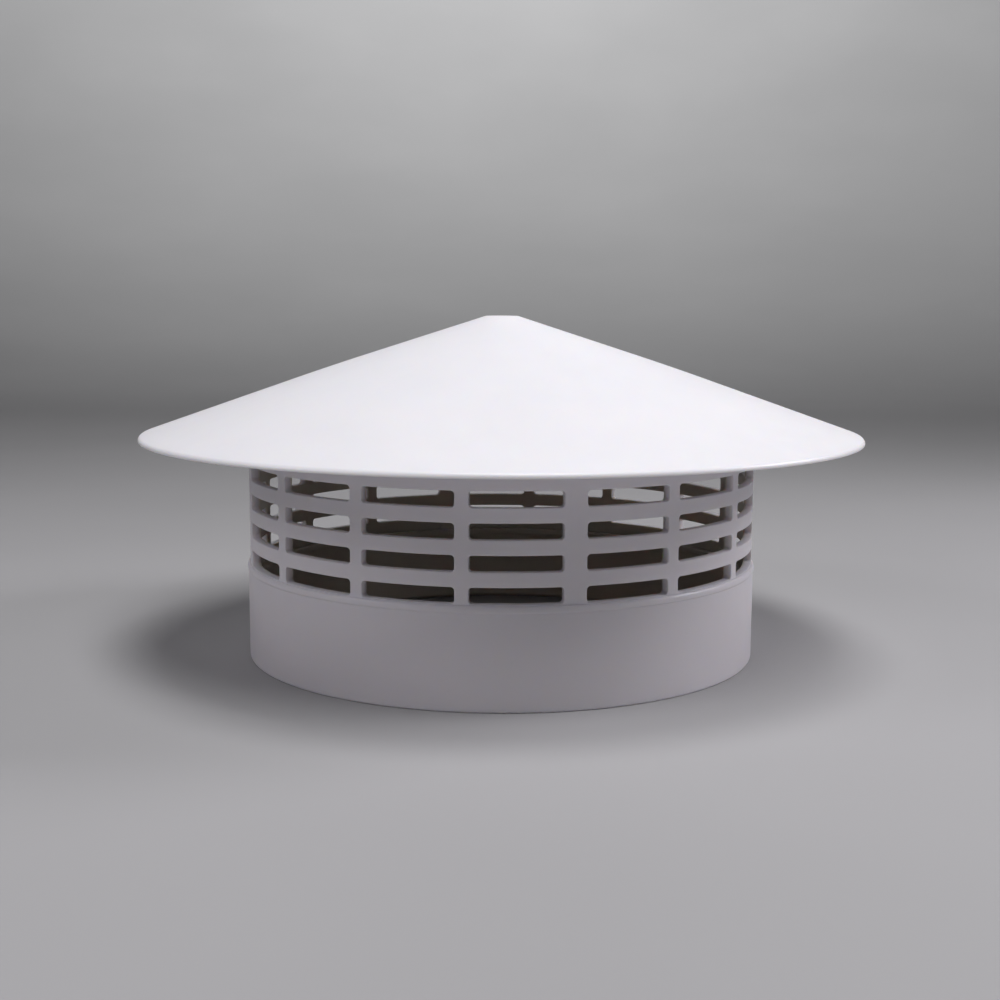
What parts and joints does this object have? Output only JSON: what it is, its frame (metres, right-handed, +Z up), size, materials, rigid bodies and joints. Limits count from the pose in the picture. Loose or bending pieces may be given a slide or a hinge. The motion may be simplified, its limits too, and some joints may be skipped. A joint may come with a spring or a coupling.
{
  "type": "cowl vent",
  "caption": "White PVC duct vent: a shallow conical rain hood screwed on a slotted round cage, which stands in a plain collar that slips over the duct pipe.",
  "frame": {"origin": "centre of the collar's foot, on the axis of the duct", "axes": "+Z up the axis of the duct towards the hood's flat top; the four wide posts of the cage stand on the X and Y axes"},
  "size_m": [0.2356, 0.2356, 0.1108],
  "materials": {
    "white_pvc": "satin moulded, slightly warm inside",
    "stainless_steel": "bright, cold headed"
  },
  "bodies": {
    "root": {"hood": "white_pvc", "cage": "white_pvc", "collar": "white_pvc", "hood_screw_front": "stainless_steel", "hood_screw_right": "stainless_steel", "hood_screw_back": "stainless_steel", "hood_screw_left": "stainless_steel"}
  },
  "joints": []
}
